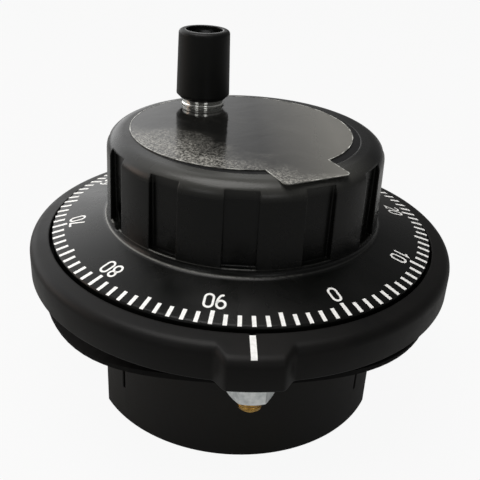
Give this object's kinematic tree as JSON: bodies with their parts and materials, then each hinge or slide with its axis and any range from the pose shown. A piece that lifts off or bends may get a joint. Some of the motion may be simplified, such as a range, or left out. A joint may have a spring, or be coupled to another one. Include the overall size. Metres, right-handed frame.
{
  "type": "pulse generator handwheel",
  "caption": "Panel-mount pulse generator handwheel: a graduated dial and knob with a crank grip turns in a round flange and drives a detented encoder in the rear case.",
  "frame": {"origin": "on the wheel's axis, in the plane of the panel's front face", "axes": "+Z out of the panel along the wheel's axis; -Y toward the index lug; +X to the right seen from the front"},
  "size_m": [0.0792, 0.0814, 0.0653],
  "materials": {
    "flange_plastic": "satin moulded black",
    "gasket_rubber": "matt moulded black",
    "stud_brass": "turned bright brass",
    "nut_steel": "zinc plated",
    "case_plastic": "matt moulded black",
    "screw_steel": "zinc plated",
    "bush_bronze": "sintered, oiled",
    "magnet_ferrite": "dull grey ferrite",
    "soft_iron": "bare soft iron",
    "board_laminate": "green solder mask",
    "sensor_plastic": "matt moulded",
    "reticle_glass": "chrome on glass",
    "terminal_plastic": "moulded green",
    "terminal_steel": "tin plated",
    "wheel_plastic": "satin moulded black, printed white",
    "plate_anodised": "black anodised",
    "film_clear": "clear film, dusty",
    "shaft_steel": "ground",
    "washer_acetal": "natural white",
    "ring_steel": "oil blackened spring steel",
    "hub_aluminium": "turned",
    "disc_steel": "etched",
    "crank_steel": "turned and nickel plated",
    "grip_plastic": "satin moulded black"
  },
  "bodies": {
    "base": {"bezel_flange": "flange_plastic", "panel_gasket": "gasket_rubber", "mount_studs": "stud_brass", "stud_nuts": "nut_steel", "rear_case": "case_plastic", "case_screws": "screw_steel", "upper_bush": "bush_bronze", "lower_bush": "bush_bronze", "detent_magnet": "magnet_ferrite", "detent_pole": "soft_iron", "circuit_board": "board_laminate", "board_screws": "screw_steel", "optical_sensor": "sensor_plastic", "reticle": "reticle_glass", "terminal_block": "terminal_plastic", "terminal_screws": "terminal_steel", "terminal_pins": "terminal_steel"},
    "wheel": {"handwheel": "wheel_plastic", "top_plate": "plate_anodised", "film": "film_clear", "shaft": "shaft_steel", "upper_washer": "washer_acetal", "lower_washer": "washer_acetal", "retaining_ring": "ring_steel", "detent_wheel": "soft_iron", "code_hub": "hub_aluminium", "code_disc": "disc_steel", "disc_clamp": "hub_aluminium", "set_screw": "ring_steel", "crank_spindle": "crank_steel", "crank_washer": "screw_steel", "crank_screw": "screw_steel"},
    "grip": {"crank_grip": "grip_plastic"}
  },
  "joints": [
    {"name": "dial_turn", "type": "hinge", "parent": "base", "child": "wheel", "pos_m": [0, 0, 0], "axis": [0, 0, 1], "continuous": true},
    {"name": "grip_spin", "type": "hinge", "parent": "wheel", "child": "grip", "pos_m": [-0.008, 0.01557, 0], "axis": [0, 0, 1], "continuous": true}
  ]
}
